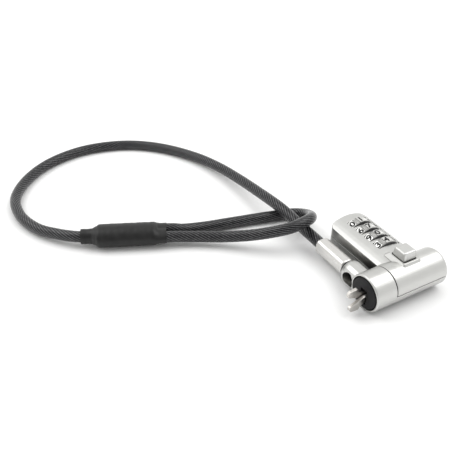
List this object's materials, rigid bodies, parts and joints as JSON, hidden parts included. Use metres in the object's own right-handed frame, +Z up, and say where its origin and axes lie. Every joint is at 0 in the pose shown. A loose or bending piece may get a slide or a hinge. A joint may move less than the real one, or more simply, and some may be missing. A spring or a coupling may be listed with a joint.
{
  "type": "laptop cable lock",
  "caption": "Combination laptop cable lock: silver barrel with a spreading T-tongue, push button, code wheels and a swivelling steel cable ending in a crimped eye.",
  "frame": {"origin": "centre of the lock's footprint, on the surface it lies on", "axes": "+X along the wheel axle, away from the barrel; +Y out of the barrel's front, the way the tongue points; +Z up, the way the push button stands"},
  "size_m": [0.1787, 0.1376, 0.0192],
  "materials": {
    "housing": "satin silver die-cast zinc",
    "rubber": "matt black",
    "tongue_steel": "bright machined steel",
    "inner_steel": "sintered steel, dull",
    "button": "satin silver, softened edges",
    "spring_steel": "drawn spring steel",
    "sleeve": "brushed nickel",
    "wheel": "satin silver with black digits",
    "clutch": "dark sintered steel",
    "screw": "dark plated steel",
    "cable": "clear smoked sheath over twisted steel strands",
    "ferrule": "pressed aluminium",
    "shrink": "satin black heat-shrink"
  },
  "bodies": {
    "root": {"lower_housing": "housing", "upper_cover": "housing", "front_pad": "rubber", "jaw_pivot_pin": "tongue_steel", "jaw_carrier": "inner_steel", "button_spring": "spring_steel", "dial_axle": "spring_steel", "detent_spring": "spring_steel", "swivel_ring": "rubber", "cable_main": "cable", "cable_eye": "cable", "crimp_ferrule": "ferrule", "heat_shrink": "shrink", "housing_screw_1": "screw", "housing_screw_2": "screw", "housing_screw_3": "screw", "housing_screw_4": "screw"},
    "button": {"push_button": "button", "actuator": "inner_steel"},
    "slider": {"jaw_slider": "inner_steel"},
    "upper_jaw": {"jaw_upper": "tongue_steel"},
    "lower_jaw": {"jaw_lower": "tongue_steel"},
    "swivel": {"swivel_stud": "tongue_steel", "cable_sleeve": "sleeve"},
    "wheel_1": {"code_wheel_1": "wheel", "clutch_sleeve_1": "clutch"},
    "wheel_2": {"code_wheel_2": "wheel", "clutch_sleeve_2": "clutch"},
    "wheel_3": {"code_wheel_3": "wheel", "clutch_sleeve_3": "clutch"},
    "wheel_4": {"code_wheel_4": "wheel", "clutch_sleeve_4": "clutch"}
  },
  "joints": [
    {"name": "button_press", "type": "slide", "parent": "root", "child": "button", "axis": [0, 0, -1], "range_m": [0, 0.002], "stiffness_N_per_m": 400, "springref_m": -0.001, "deforming": ["button_spring"]},
    {"name": "slider_travel", "type": "slide", "parent": "root", "child": "slider", "axis": [0, 1, 0], "range_m": [0, 0.002]},
    {"name": "jaw_upper_close", "type": "hinge", "parent": "root", "child": "upper_jaw", "pos_m": [-0.01445, 0.0094, 0.0064], "axis": [-1, 0, 0], "range_deg": [0, 9]},
    {"name": "jaw_lower_close", "type": "hinge", "parent": "root", "child": "lower_jaw", "pos_m": [-0.01445, 0.0094, 0.0064], "axis": [1, 0, 0], "range_deg": [0, 9]},
    {"name": "cable_swivel", "type": "hinge", "parent": "root", "child": "swivel", "pos_m": [0.00185, 0.0088, 0.0063], "axis": [1, 0, 0], "continuous": true},
    {"name": "wheel_1_turn", "type": "hinge", "parent": "root", "child": "wheel_1", "pos_m": [-0.0003, -0.0075, 0.009], "axis": [1, 0, 0], "continuous": true},
    {"name": "wheel_2_turn", "type": "hinge", "parent": "root", "child": "wheel_2", "pos_m": [0.005, -0.0075, 0.009], "axis": [1, 0, 0], "continuous": true},
    {"name": "wheel_3_turn", "type": "hinge", "parent": "root", "child": "wheel_3", "pos_m": [0.0103, -0.0075, 0.009], "axis": [1, 0, 0], "continuous": true},
    {"name": "wheel_4_turn", "type": "hinge", "parent": "root", "child": "wheel_4", "pos_m": [0.0156, -0.0075, 0.009], "axis": [1, 0, 0], "continuous": true}
  ],
  "couplings": [
    {"joint": "slider_travel", "follows": "button_press", "ratio": 1},
    {"joint": "jaw_upper_close", "follows": "button_press", "rad_per_m": 78.461},
    {"joint": "jaw_lower_close", "follows": "button_press", "rad_per_m": 78.461}
  ]
}
